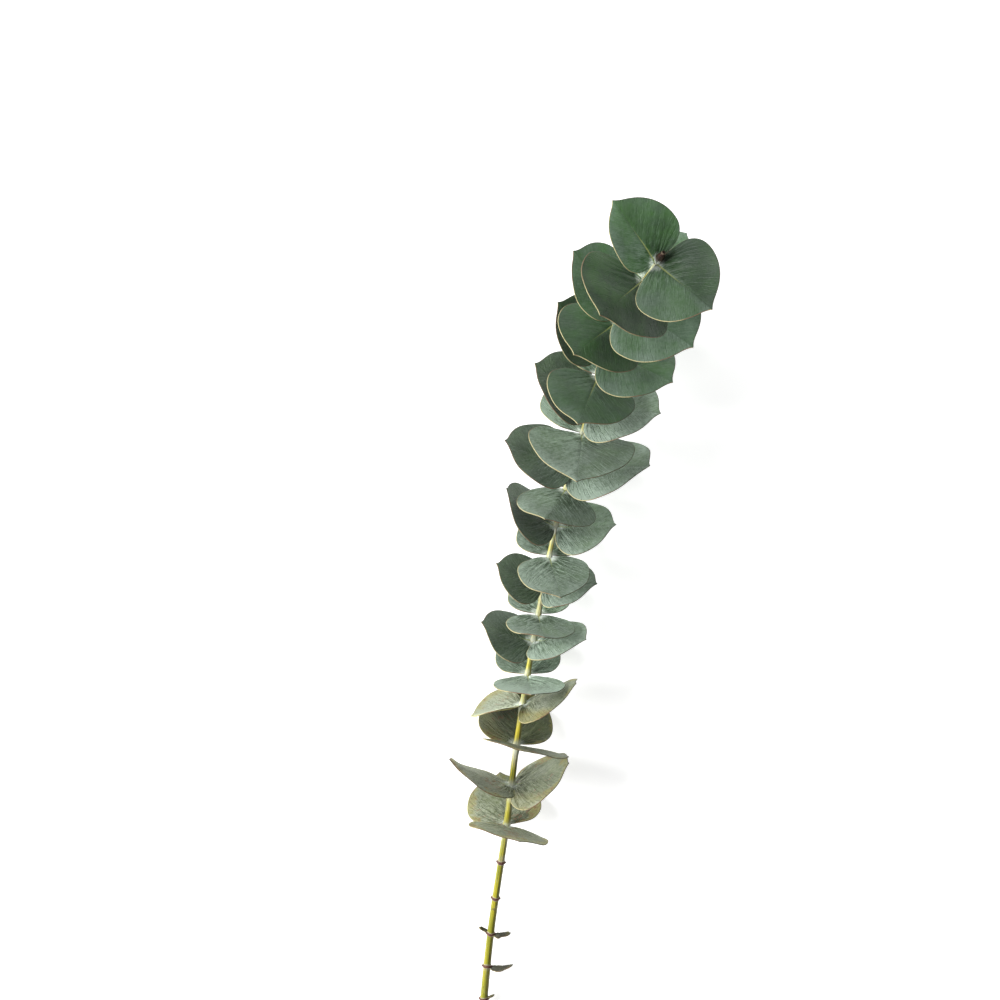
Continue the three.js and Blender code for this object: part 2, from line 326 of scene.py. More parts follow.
# Distance from the leaf base to the edge at each angle from the midrib: an ellipse seen from
# a point inside it, raised to a sharp point at the tip by a falling exponential, and drawn in
# to the stem at the two lobes by the root of one minus a power.
def edgeRadius(angle, length, width, inner, opening):
    a = width / 2
    b = length * (1 + leaves["lobeBack"]) / 2
    c = length * (1 - leaves["lobeBack"]) / 2
    s, k = np.sin(angle), np.cos(angle)
    q = (s / a) ** 2 + (k / b) ** 2
    edge = (c * k / b ** 2 + np.sqrt(np.maximum(q - (s * c / (a * b)) ** 2, 0))) / q
    edge *= 1 + leaves["tipRise"] * np.exp(-np.abs(np.degrees(angle)) / leaves["tipAngle"])
    start = leaves["lobeRounding"]
    w = np.clip((np.abs(np.degrees(angle)) / opening - start) / (1 - start), 0, 1)
    return inner + (edge - inner) * np.sqrt(np.maximum(1 - w ** 2.4, 0))


# Where a spot of the blade lies among the side veins. A vein that leaves the midrib at g runs
# along p = g + (slope + fan g) t + curve t^2, where p is the distance along the midrib over
# the leaf length and t the distance from it over half the width. Veins below zero all start
# at the leaf base and fan out into the lobes.
def veinPlace(p, t):
    slope, upperFan, lowerFan, curve = 0.42, 0.35, 1.1, 0.14
    p = p - curve * t ** 2
    upper = (p - slope * t) / (1 + upperFan * t)
    lower = (p / np.maximum(t, 1e-3) - slope) / lowerFan
    return np.where(p > slope * t, upper, np.maximum(lower, -1.2))


# One blade as a closed grid. Rows go round the leaf by angle and columns go up the top sheet,
# round the rim and back along the lower sheet. The middle surface bends along an arc, lifts
# its sides by a parabola that is part fold, sags in slow sine waves, ripples towards the
# margin, rises between the side veins by a cosine, and is kept above the floor by a soft
# maximum. Shades, halves and yellowed each hold a value for the two halves of the leaf; the
# shades are painted light and shade, in part the leaf's own tone.
def bladeGrid(at, shape, number, bloom, opening, shades=(1.0, 1.0), fold=0.0, halves=(1.0, 1.0),
              yellowed=(0.0, 0.0), segments=leaves["segments"], ragged=0.0):
    turn, spread, roll, length, width, bend, cup = shape
    point, along, over, side = stemFrame(at)
    turn, spread, roll = np.radians([turn, spread, roll])
    away = over * np.cos(turn) + side * np.sin(turn)
    out = along * np.cos(spread) + away * np.sin(spread)
    flatFace = along * np.sin(spread) - away * np.cos(spread)
    flatAcross = np.cross(flatFace, out)
    across = flatAcross * np.cos(roll) + flatFace * np.sin(roll)
    face = flatFace * np.cos(roll) - flatAcross * np.sin(roll)
    curve = np.radians(bend) / length
    if abs(curve) < 1e-6:
        curve = 1e-6
    inner = leaves["clasp"] * ringedRadius(at) / max(np.sin(spread), 0.5)

    def flatPlace(angle, distance):
        p = leaves["offset"] + distance * np.cos(angle)
        q = distance * np.sin(angle) * np.where(angle < 0, halves[0], halves[1])
        return p, q

    def surface(angle, distance):
        p, q = flatPlace(angle, distance)
        t = np.abs(q) / (width / 2)
        lift = cup * ((1 - fold) * t ** 2 + fold * t)
        awayFromStem = np.clip(distance / leaves["sagStart"], 0, 1) ** 2
        sag = leaves["sag"] * awayFromStem * np.sin(0.3 * p + 1.3 * number)
        lift = lift + sag * np.sin(0.24 * q + 2.1 * number)
        wave = np.sin(3.3 * angle + 1.7 * number) + 0.6 * np.sin(7.1 * angle + 2.9 * number)
        lift = lift + leaves["ripple"] * wave * (distance / length) ** 3
        strength = np.clip(distance / leaves["quiltStart"], 0, 1)
        strength = strength * bump(distance, 0, leaves["quiltReach"])
        g = veinPlace((p - inner) / length, t)
        lift = lift - leaves["quilting"] * strength * np.cos(2 * np.pi * leaves["veins"] * g)
        x = np.sin(curve * p) / curve
        z = (1 - np.cos(curve * p)) / curve
        spot = point + out * (x - lift * np.sin(curve * p))[..., None]
        spot = spot + face * (z + lift * np.cos(curve * p))[..., None] + across * q[..., None]
        height = spot[..., 2] - leaves["floorGap"]
        spot[..., 2] = leaves["floorGap"] + (height + np.hypot(height, leaves["floorSoftness"])) / 2
        return spot

    # angles crowd at the tip and at the lobe ends, by 1 - (1 - x^1.35)^1.35, and stop just short
    # of the lobe ends, where the edge meets the stem
    x = np.linspace(-0.9999, 0.9999, segments + 1)
    angle = np.sign(x) * (1 - (1 - np.abs(x) ** 1.35) ** 1.35) * np.radians(opening)
    edge = edgeRadius(angle, length, width, inner, opening)
    tear = np.sin(5 * angle + number) + 0.6 * np.sin(13 * angle + 2 * number)
    edge = inner + (edge - inner) * (1 - ragged * np.clip(0.4 + 0.4 * tear, 0, 1))
    rim = np.minimum(leaves["rimThickness"] / 2, (edge - inner) / 2)
    rows = np.linspace(0, 1, leaves["rows"] + 1) ** 0.8
    distance = inner + (edge - rim - inner)[:, None] * rows[None, :]
    angles = np.broadcast_to(angle[:, None], distance.shape)
    centre = surface(angles, distance)
    onward = surface(angles + 0.002, distance) - centre
    outward = surface(angles, distance + 0.02) - centre
    normal = unit(np.cross(outward, onward))
    p, q = flatPlace(angles, distance)
    share = np.clip((distance - inner) / (length - inner), 0, 1)
    thickness = [leaves["baseThickness"], leaves["bladeThickness"], leaves["bladeThickness"]]
    half = np.interp(share, [0, 0.25, 1], thickness) / 2
    toEdge = (edge - rim)[:, None] - distance
    rimExtra = (leaves["rimThickness"] - leaves["bladeThickness"]) / 2
    half = half + rimExtra * bump(toEdge, 0, 0.4)
    half = np.minimum(half, np.maximum(rim[:, None], 0.12))
    rib = bump(q, 0, leaves["ribWidth"]) * np.clip(1 - p / length, 0, 1) ** 0.8
    rib *= np.clip(toEdge / 2, 0, 1)
    top = centre + normal * (half - leaves["ribGroove"] * rib)[..., None]
    bottom = centre - normal * (half + leaves["ribHeight"] * rib)[..., None]

    # half round rim between the two sheets
    edgeNormal = normal[:, -1]
    edgeOut = unit(np.cross(np.gradient(centre[:, -1], axis=0), edgeNormal))
    bow = np.linspace(0, np.pi, leaves["rimRows"] + 2)[1:-1]
    thick = half[:, -1][:, None, None]
    cap = centre[:, -1][:, None, :] + thick * (
        edgeNormal[:, None, :] * np.cos(bow)[None, :, None]
        + edgeOut[:, None, :] * np.sin(bow)[None, :, None])
    grid = np.concatenate([top, cap, bottom[:, ::-1]], axis=1)
    grid[..., 2] = np.maximum(grid[..., 2], 0.02)

    # a value of the upper sheet and the rim; the lower sheet repeats it or has its own
    def profile(onSheet, onCap, under=None):
        capValues = np.broadcast_to(onCap, (len(angle), len(bow)))
        lower = onSheet if under is None else under
        return np.concatenate([onSheet, capValues, lower[:, ::-1]], axis=1)

    t = np.abs(q) / (width / 2)
    g = veinPlace((p - inner) / length, t) + 4 * np.sign(angles)
    # painted light and shade: how far each margin faces the side that is painted lit
    paintedLightSide = edgeOut @ unit(np.array(leaves["paintedLightSide"]))
    zeros, ones = np.zeros_like(p), np.ones_like(p)
    under = profile(zeros, np.linspace(0, 1, len(bow))[None, :], ones)
    facingLight = profile(paintedLightSide[:, None] * ones, paintedLightSide[:, None])
    margin = profile(toEdge, 0 * paintedLightSide[:, None])

    # a smooth step over the midrib mixes the values of the two halves
    blend = np.clip(q / leaves["seam"] + 0.5, 0, 1)
    blend = blend ** 2 * (3 - 2 * blend)
    # painted light and shade on each half, in part the leaf's own tone
    shade = shades[0] + (shades[1] - shades[0]) * blend
    lobe = np.clip((np.abs(q) - 0.4 * p - 2) / 5, 0, 1)
    dry = lobe * (yellowed[0] + (yellowed[1] - yellowed[0]) * blend)

    def wrap(values):
        return profile(values, values[:, -1:])

    return grid, {
        "veinPlace": np.stack([wrap(g), wrap(t), 0 * under + leaves["noiseStep"] * number], axis=-1),
        "leafPlace": np.stack([wrap(p), wrap(q), margin], axis=-1),
        "leafTone": np.stack([under, 0 * under + bloom, facingLight], axis=-1),
        "leafShade": np.stack([wrap(shade), wrap(dry), 0 * under], axis=-1),
    }


# One leaf surface: green mottled by noise under a waxy bloom, dark wedges and pale hairlines
# that follow the veins and are strongest near the stem, painted shade in the crease beside each
# hairline, white dust at the base, a paler lower face, a short midrib, dry patches, yellowed
# lobes and specks, painted light and shade on each half (in part its own tone), and a thin
# red-brown margin with painted light and shade on it: cream where it faces the lit side, a dark
# brown where it faces away.
# Puts out colour, roughness and height.
def makeLeafGroup():
    tree, start, end = newGroup("leafBlade", [
        ("Green", "NodeSocketColor", (0.06, 0.14, 0.06, 1)),
        ("Deep", "NodeSocketColor", (0.03, 0.07, 0.03, 1)),
        ("Bloom", "NodeSocketColor", (0.3, 0.4, 0.35, 1)),
        ("Underside", "NodeSocketColor", (0.2, 0.3, 0.22, 1)),
        ("Bloom Amount", "NodeSocketFloat", 0.4),
        ("Mottling", "NodeSocketFloat", 2.5),
        ("Vein Strength", "NodeSocketFloat", 0.4),
        ("Streak Strength", "NodeSocketFloat", 0.4),
        ("Midrib Reach", "NodeSocketFloat", 12.0),
        ("Dry Patches", "NodeSocketFloat", 0.0),
        ("Dust", "NodeSocketFloat", 1.0),
    ], [
        ("Colour", "NodeSocketColor"),
        ("Roughness", "NodeSocketFloat"),
        ("Height", "NodeSocketFloat"),
    ])
    given = start.outputs
    place = readAttribute(tree, "veinPlace")
    g, _, _ = splitVector(tree, place)
    along, beside, margin = splitVector(tree, readAttribute(tree, "leafPlace"))
    under, tone, facingLight = splitVector(tree, readAttribute(tree, "leafTone"))
    shade, dryLobe, _ = splitVector(tree, readAttribute(tree, "leafShade"))
    spot = addNode(tree, "ShaderNodeTexCoord").outputs["Object"]
    radius = calculate(tree, "SQRT", multiplyAdd(tree, along, along, multiply(tree, beside, beside)))
    nearStem = ease(tree, radius, 2.0, 18.0, 1.0, 0.0)

    # side veins: a pale hairline and a crease beside it, moved about by noise and broken up; the
    # crease is later darkened with painted shade
    wobble = noiseValue(tree, scaleVector(tree, place, (7, 4, 1)), 1.0, 3.0)
    veinNumber = multiplyAdd(tree, g, leaves["veins"] * leaves["hairlines"], multiply(tree, wobble, 1.8))
    part = calculate(tree, "FRACT", veinNumber)
    broken = ease(tree, noiseValue(tree, scaleVector(tree, place, (9, 6, 1)), 1.0, 2.0), 0.4, 0.56)
    fromLine = calculate(tree, "ABSOLUTE", calculate(tree, "SUBTRACT", part, 0.4))
    line = multiply(tree, ease(tree, fromLine, 0.0, 0.1, 1.0, 0.0), broken)
    # painted shade: the crease beside each hairline
    fromCrease = calculate(tree, "ABSOLUTE", calculate(tree, "SUBTRACT", part, 0.62))
    crease = multiply(tree, ease(tree, fromCrease, 0.0, 0.14, 1.0, 0.0), broken)

    # streaks along the veins, fine and broad, and mottling that ignores them
    fine = noiseValue(tree, scaleVector(tree, place, (80, 10, 1)), 1.0, 3.0, 0.65)
    broad = noiseValue(tree, scaleVector(tree, place, (20, 4, 1)), 1.0, 3.0, 0.6)
    patch = noiseValue(tree, spot, 75.0, 4.0, 0.6)
    mottle = noiseValue(tree, spot, 620.0, 4.0, 0.75)
    grain = noiseValue(tree, spot, 1500.0, 2.0)

    # the bloom is uneven: streaked near the stem, mottled elsewhere and thicker towards the margin;
    # it is also painted thicker where the margin faces the lit side, which is painted light
    colour = layColour(tree, ease(tree, patch, 0.35, 0.65), given["Green"], given["Deep"])
    uneven = 1.0
    for texture, strength in (
        (broad, ease(tree, nearStem, 0.0, 1.0, 0.7, 3.0)),
        (fine, ease(tree, nearStem, 0.0, 1.0, 0.8, 2.4)),
        (mottle, given["Mottling"]),
        (patch, 1.5),
    ):
        change = calculate(tree, "SUBTRACT", texture, 0.5)
        uneven = multiplyAdd(tree, change, strength, uneven)
    # painted light: more bloom where the margin faces the lit side
    uneven = multiply(tree, uneven, ease(tree, facingLight, -0.9, 0.7, 0.6, 1.25))
    uneven = multiply(tree, uneven, ease(tree, margin, 0.0, 8.0, 1.15, 0.85))
    # the leaf's bloom value holds its own wax and also painted light
    bloom = multiply(tree, given["Bloom Amount"], multiplyAdd(tree, tone, 1.2, 0.25))
    bloom = multiply(tree, bloom, uneven)
    bloom = calculate(tree, "MINIMUM", calculate(tree, "MAXIMUM", bloom, 0.0), 1.0)
    colour = layColour(tree, bloom, colour, given["Bloom"])
    # dark wedges: dark streaks near the stem, and painted shade in the creases
    wedge = calculate(tree, "MAXIMUM", ease(tree, broad, 0.4, 0.56, 1.0, 0.0), crease)
    wedge = multiply(tree, wedge, ease(tree, radius, 3.0, 20.0, 1.0, 0.1))
    wedge = multiply(tree, wedge, given["Streak Strength"])
    colour = layColour(tree, wedge, colour, given["Deep"])
    hair = calculate(tree, "MAXIMUM", line, ease(tree, fine, 0.54, 0.68))
    hair = multiply(tree, hair, ease(tree, radius, 4.0, 30.0, 1.0, 0.15))
    waxy = calculate(tree, "MINIMUM", multiplyAdd(tree, tone, 1.0, 0.25), 1.0)
    hair = multiply(tree, hair, multiply(tree, given["Vein Strength"], waxy))
    colour = layColour(tree, hair, colour, scaleVector(tree, given["Bloom"], (1.4, 1.4, 1.4)))

    # white dust where the leaf meets the stem
    dust = multiplyAdd(tree, broad, 5.0, radius)
    dust = multiply(tree, ease(tree, dust, 4.6, 7.4, 1.0, 0.0), ease(tree, mottle, 0.2, 0.5, 0.6, 1.0))
    dust = multiply(tree, dust, given["Dust"])
    colour = layColour(tree, dust, colour, (0.74, 0.81, 0.74, 1))

    lower = layColour(tree, ease(tree, broad, 0.3, 0.7, 0.0, 0.5), given["Underside"], colour)
    colour = layColour(tree, multiply(tree, under, 0.9), colour, lower)

    # midrib: yellow-green, soon narrow, and gone at its reach
    reach = calculate(tree, "DIVIDE", along, given["Midrib Reach"])
    ribWidth = ease(tree, reach, 0.0, 1.0, 0.5, 0.2)
    fromRib = calculate(tree, "DIVIDE", calculate(tree, "ABSOLUTE", beside), ribWidth)
    rib = ease(tree, fromRib, 0.4, 1.0, 1.0, 0.0)
    rib = multiply(tree, rib, ease(tree, reach, 0.2, 1.0, 0.9, 0.0))
    colour = layColour(tree, rib, colour, (0.4, 0.46, 0.16, 1))

    # an old leaf yellows from the margin in patches and at its lobes, and gets small
    # red-brown specks
    dryNoise = noiseValue(tree, scaleVector(tree, spot, (60, 95, 80)), 1.0, 3.0, 0.6)
    yellow = multiplyAdd(tree, margin, -0.03, dryNoise)
    yellow = multiply(tree, ease(tree, yellow, 0.36, 0.52), given["Dry Patches"])
    yellowLobe = multiply(tree, dryLobe, ease(tree, dryNoise, 0.3, 0.6, 0.35, 0.85))
    yellow = calculate(tree, "MAXIMUM", yellow, yellowLobe)
    colour = layColour(tree, yellow, colour, (0.38, 0.35, 0.12, 1))
    speck = multiplyAdd(tree, dryNoise, 0.9, mottle)
    speck = multiply(tree, ease(tree, speck, 1.04, 1.12), given["Dry Patches"])
    colour = layColour(tree, speck, colour, (0.24, 0.11, 0.06, 1))

    # painted light and shade on the two halves, in part each leaf's own tone
    shaded = addNode(tree, "ShaderNodeVectorMath", {0: colour, "Scale": shade}, operation="SCALE")
    colour = shaded.outputs[0]

    # the margin: its own red-brown, with painted light (cream) where it faces the lit side and painted
    # shade (dark brown) where it faces away
    redNoise = noiseValue(tree, scaleVector(tree, place, (3, 3, 1)), 1.0, 1.0)
    side = multiplyAdd(tree, redNoise, 0.5, facingLight)
    # the dark brown is painted shade and the cream painted light; the red-brown is the margin's own colour
    shadedRim, red = (0.085, 0.08, 0.045, 1), (0.22, 0.12, 0.07, 1)
    rimLitAndShaded = layColour(tree, ease(tree, side, 0.1, 0.45), shadedRim, red)
    rimLitAndShaded = layColour(tree, ease(tree, side, 0.5, 0.85), rimLitAndShaded, (0.6, 0.53, 0.28, 1))
    colour = layColour(tree, ease(tree, margin, 0.0, 0.12, 0.9, 0.0), colour, rimLitAndShaded)

    rough = ease(tree, bloom, 0.0, 0.8, 0.42, 0.7)
    rough = calculate(tree, "ADD", ease(tree, grain, 0.3, 0.7, 0.0, 0.1), rough)
    rough = multiplyAdd(tree, under, 0.1, rough)
    height = multiplyAdd(tree, line, 0.5, multiply(tree, broad, 0.8))
    height = multiplyAdd(tree, crease, -0.6, height)
    height = multiplyAdd(tree, mottle, 1.2, height)
    height = multiplyAdd(tree, grain, 0.2, height)
    tree.links.new(colour, end.inputs["Colour"])
    tree.links.new(rough, end.inputs["Roughness"])
    tree.links.new(height, end.inputs["Height"])
    return tree


leafGroup = makeLeafGroup()


def makeLeafMaterial(name, values, specular, sheen, bumpDepth):
    material, tree, surface = newMaterial(name)
    blade = addNode(tree, "ShaderNodeGroup", node_tree=leafGroup)
    for label, value in values.items():
        blade.inputs[label].default_value = value
    relief = addNode(tree, "ShaderNodeBump", {"Height": blade.outputs["Height"], "Distance": bumpDepth})
    tree.links.new(blade.outputs["Colour"], surface.inputs["Base Color"])
    tree.links.new(blade.outputs["Roughness"], surface.inputs["Roughness"])
    tree.links.new(relief.outputs[0], surface.inputs["Normal"])
    surface.inputs["Specular IOR Level"].default_value = specular
    surface.inputs["Sheen Weight"].default_value = sheen
    surface.inputs["Sheen Roughness"].default_value = 0.45
    return material


youngLeafLook = {
    "Green": (0.045, 0.125, 0.026, 1),
    "Deep": (0.022, 0.062, 0.018, 1),
    "Bloom": (0.25, 0.34, 0.265, 1),
    "Underside": (0.17, 0.26, 0.15, 1),
    "Bloom Amount": 0.56,
    "Mottling": 1.6,
    "Vein Strength": 0.55,
    "Streak Strength": 0.45,
    "Midrib Reach": 22.0,
}
leafLook = {
    "Green": (0.07, 0.125, 0.048, 1),
    "Deep": (0.03, 0.056, 0.026, 1),
    "Bloom": (0.33, 0.415, 0.335, 1),
    "Underside": (0.2, 0.28, 0.18, 1),
    "Bloom Amount": 0.68,
    "Mottling": 2.4,
    "Vein Strength": 0.95,
    "Streak Strength": 0.8,
    "Midrib Reach": 9.0,
}
oldLeafLook = {
    "Green": (0.12, 0.15, 0.06, 1),
    "Deep": (0.05, 0.062, 0.03, 1),
    "Bloom": (0.42, 0.46, 0.345, 1),
    "Underside": (0.26, 0.3, 0.19, 1),
    "Bloom Amount": 0.68,
    "Mottling": 3.6,
    "Vein Strength": 0.6,
    "Streak Strength": 0.75,
    "Midrib Reach": 8.0,
    "Dry Patches": 0.6,
}
tornLeafLook = {
    "Green": (0.12, 0.125, 0.08, 1),
    "Deep": (0.06, 0.055, 0.035, 1),
    "Bloom": (0.27, 0.27, 0.21, 1),
    "Underside": (0.14, 0.13, 0.1, 1),
    "Bloom Amount": 0.6,
    "Vein Strength": 0.1,
    "Midrib Reach": 2.0,
    "Dry Patches": 0.5,
    "Dust": 0.2,
}

youngMaterial = makeLeafMaterial("youngLeaf", youngLeafLook, 0.3, 0.0, 0.0001)
leafMaterial = makeLeafMaterial("waxyLeaf", leafLook, 0.28, 0.03, 0.0002)
oldMaterial = makeLeafMaterial("oldLeaf", oldLeafLook, 0.25, 0.04, 0.00022)
tornMaterial = makeLeafMaterial("tornLeaf", tornLeafLook, 0.2, 0.0, 0.0002)
print("leaf materials ready")

number = 0
for i, pair in enumerate(leaves["pairs"], start=1):
    for place in ("right", "left", "front", "back"):
        if place not in pair:
            continue
        number += 1
        node = f"leaf_{i:02d}_{place}"
        fold = leaves["folded"].get(node, leaves["crease"])
        halves = leaves["halves"].get(node, (1.0, 1.0))
        bloom = pair["bloom"][1 if place in ("left", "back") else 0]
        shades = leaves["shades"].get(node, (1.0, 1.0))
        yellowed = leaves["yellowed"].get(node, (0.0, 0.0))
        opening = leaves["wedged"].get(node, leaves["lobeAngle"])
        grid, attributes = bladeGrid(pair["at"], pair[place], number, bloom, opening, shades,
                                     fold, halves, yellowed)
        piece = closedGrid(node + "_blade", grid, attributes)
        if i <= leaves["youngPairs"]:
            settle(piece, node, youngMaterial)
        else:
            settle(piece, node, leafMaterial if i <= leaves["freshPairs"] else oldMaterial)
print("leaves made:", number)

tornLeaves = {
    "ragged": 0.35,
    "segments": 64,
    "bloom": 0.2,
    "shades": (0.55, 0.55),
    "halves": (1.0, 0.3),   # one side of the blade is nearly gone
    # distance along the stem, (turn, spread, roll, length, width, bend, cup) and half angle
    "blades": {
        "torn_leaf_23_right": (52.5, (85, 92, 30, 10, 6, 40, 0.5), 50),
        "torn_leaf_23_left": (52.5, (-95, 75, -10, 5.5, 4.5, 10, 0.3), 45),
        "torn_leaf_24_right": (36, (85, 100, 30, 12, 7, 60, 0.5), 50),
        "torn_leaf_25_right": (19, (80, 62, 10, 5, 3.4, 10, 0.2), 30),
    },
}
for node, (at, shape, opening) in tornLeaves["blades"].items():
    number += 1
    grid, attributes = bladeGrid(at, shape, number, tornLeaves["bloom"], opening, tornLeaves["shades"],
                                 halves=tornLeaves["halves"], segments=tornLeaves["segments"],
                                 ragged=tornLeaves["ragged"])
    settle(closedGrid(node + "_blade", grid, attributes), node, tornMaterial)
print("torn leaves made")


# The radius at a distance and an angle round the stem: a straight taper, a bell for each
# scar with two points on it, a slow swelling at each leaf pair, and fine fibres as the sum
# of two waves round the stem.
def stemSurface():
    leafNodes = [pair["at"] for pair in leaves["pairs"]]
    bareNodes, reach = stem["bareNodes"], stem["fineReach"]
    nearScar = [np.arange(n - reach, n + reach, stem["fineStep"]) for n in bareNodes]
    plain = np.arange(0, stemLength, stem["step"])
    distance = np.unique(np.concatenate([plain, *nearScar, [stemLength]]))
    distance = distance[np.concatenate([[True], np.diff(distance) > 0.05])]
    around = np.linspace(0, 2 * np.pi, stem["sides"], endpoint=False)
    d, a = np.meshgrid(distance, around, indexing="ij")
    scar = sum(bump(d, n + 0.15 * np.sin(a * 2 + n), stem["ringWidth"] * 0.6) for n in bareNodes)
    lip = sum(bump(d, n, stem["ringWidth"]) for n in bareNodes)
    stub = scar * (bump(np.sin(a / 2), 0, stem["pointWidth"]) + bump(np.cos(a / 2), 0, stem["pointWidth"]))
    collar = sum(bump(d, n - 0.8, stem["swellingLength"]) for n in leafNodes)
    fibre = np.sin(9 * a + 0.02 * d) + 0.6 * np.sin(17 * a - 0.035 * d + 1)
    radius = plainRadius(d) + stem["ringHeight"] * (0.55 * lip + 0.45 * scar)
    radius += stem["stubHeight"] * stub + stem["swelling"] * collar * plainRadius(d)
    radius += stem["fibreDepth"] * fibre * (1 - scar).clip(0, 1)
    point, along, over, side = stemFrame(distance)
    ring = over[:, None] * np.sin(a)[..., None] + side[:, None] * np.cos(a)[..., None]
    grid = point[:, None] + ring * radius[..., None]

    # the cut face: rings that shrink towards the middle and sink a little
    shrink = np.array([0.0, 0.25, 0.5, 0.75, 0.93])
    sink = stem["cutHollow"] * (1 - shrink ** 2)
    faceGrid = point[0] + ring[0][None] * radius[0][None, :, None] * shrink[:, None, None]
    faceGrid = faceGrid + along[0] * sink[:, None, None]
    grid = np.concatenate([faceGrid[1:], grid], axis=0)
    grid[..., 2] = np.maximum(grid[..., 2], 0.01)
    extra = len(shrink) - 1

    def extend(values, faceValues):
        face = np.broadcast_to(np.asarray(faceValues, float).reshape(-1, 1), (extra, stem["sides"]))
        return np.concatenate([face, values], axis=0)

    below, above = stem["bloomBelow"], stem["bloomAbove"]
    nearLeaf = sum(np.where(d < n, bump(d, n, below), bump(d, n, above)) for n in leafNodes)
    # each entry holds a value along the stem and the same value on the rings of the cut face
    layers = {
        "fibrePlace": [(np.cos(a) * 3, 3 * shrink[1:]), (np.sin(a) * 3, 0), (d / 14, 0)],
        "marks": [(scar.clip(0, 1), 0), (nearLeaf.clip(0, 1), 0), (0 * d, 1)],
        "reach": [(d / stemLength, 0), (0 * d, shrink[1:]), (np.cos(a), 0)],
    }
    attributes = {
        name: np.stack([extend(*entry) for entry in entries], axis=-1)[:, ::-1]
        for name, entries in layers.items()
    }
    return grid[:, ::-1], attributes


# Green bark: long fibres by stretched noise, yellow on young wood, painted shade on the side to
# +X, which is darker olive, small dark specks, bloom under the leaf pairs, red-brown scars with
# a pale edge, and a pale ringed face at the cut.
def makeStemMaterial():
    material, tree, surface = newMaterial("stemBark")
    fibreVector = readAttribute(tree, "fibrePlace")
    scar, nearLeaf, cut = splitVector(tree, readAttribute(tree, "marks"))
    reach, ringPlace, sideways = splitVector(tree, readAttribute(tree, "reach"))
    spot = addNode(tree, "ShaderNodeTexCoord").outputs["Object"]
    fibre = noiseValue(tree, fibreVector, 2.2, 4.0, 0.6)
    broad = noiseValue(tree, fibreVector, 0.7, 2.0)
    grain = noiseValue(tree, spot, 1400.0, 2.0)
    patch = noiseValue(tree, spot, 160.0, 3.0)
    green = layColour(tree, ease(tree, reach, 0.1, 0.5), (0.44, 0.39, 0.02, 1), (0.66, 0.54, 0.03, 1))
    colour = layColour(tree, ease(tree, broad, 0.35, 0.65), green, (0.2, 0.23, 0.02, 1))
    colour = layColour(tree, ease(tree, fibre, 0.5, 0.75, 0.0, 0.4), colour, (0.62, 0.54, 0.08, 1))
    # painted shade: the side to +X, away from the lamp, is darker olive
    paintedShadeSide = ease(tree, multiplyAdd(tree, broad, 0.5, sideways), 0.1, 0.95, 0.0, 0.85)
    colour = layColour(tree, paintedShadeSide, colour, (0.12, 0.11, 0.012, 1))
    speck = noiseValue(tree, scaleVector(tree, spot, (900, 350, 900)), 1.0, 0.0)
    colour = layColour(tree, ease(tree, speck, 0.72, 0.78, 0.0, 0.7), colour, (0.12, 0.09, 0.04, 1))
    bloom = multiply(tree, nearLeaf, ease(tree, patch, 0.35, 0.6, 0.2, 0.85))
    colour = layColour(tree, bloom, colour, (0.72, 0.76, 0.66, 1))
    uneven = multiply(tree, calculate(tree, "SUBTRACT", patch, 0.5), 0.5)
    scarEdge = calculate(tree, "ADD", scar, uneven)
    colour = layColour(tree, ease(tree, scarEdge, 0.02, 0.16, 0.0, 0.7), colour, (0.42, 0.38, 0.3, 1))
    scarMask = ease(tree, scarEdge, 0.22, 0.42)
    dark, red = (0.07, 0.025, 0.018, 1), (0.2, 0.09, 0.06, 1)
    scarColour = layColour(tree, ease(tree, grain, 0.3, 0.7), dark, red)
    colour = layColour(tree, scarMask, colour, scarColour)
    pith = layColour(tree, ease(tree, ringPlace, 0.3, 0.8), (0.6, 0.6, 0.4, 1), (0.42, 0.45, 0.2, 1))
    pith = layColour(tree, ease(tree, grain, 0.4, 0.7, 0.0, 0.5), pith, (0.3, 0.3, 0.12, 1))
    colour = layColour(tree, cut, colour, pith)
    rough = ease(tree, calculate(tree, "ADD", bloom, scarMask), 0.0, 1.0, 0.42, 0.75)
    height = multiplyAdd(tree, grain, 0.3, fibre)
    relief = addNode(tree, "ShaderNodeBump", {"Height": height, "Distance": 0.00015})
    tree.links.new(colour, surface.inputs["Base Color"])
    tree.links.new(rough, surface.inputs["Roughness"])
    tree.links.new(relief.outputs[0], surface.inputs["Normal"])
    surface.inputs["Specular IOR Level"].default_value = 0.45
    return material


grid, attributes = stemSurface()
settle(closedGrid("stem_bark", grid, attributes), "stem", makeStemMaterial())
print("stem made")


bud = {
    "foot": 4.6,            # mm of stem inside the scales
    "length": 3.6,          # mm past the end of the stem
    "radius": 1.5,
    "mouth": 0.7,
    "seam": 0.2,
    "seamWidth": 0.2,
    "lip": 0.14,
    "rows": 44,
    "sides": 40,
}


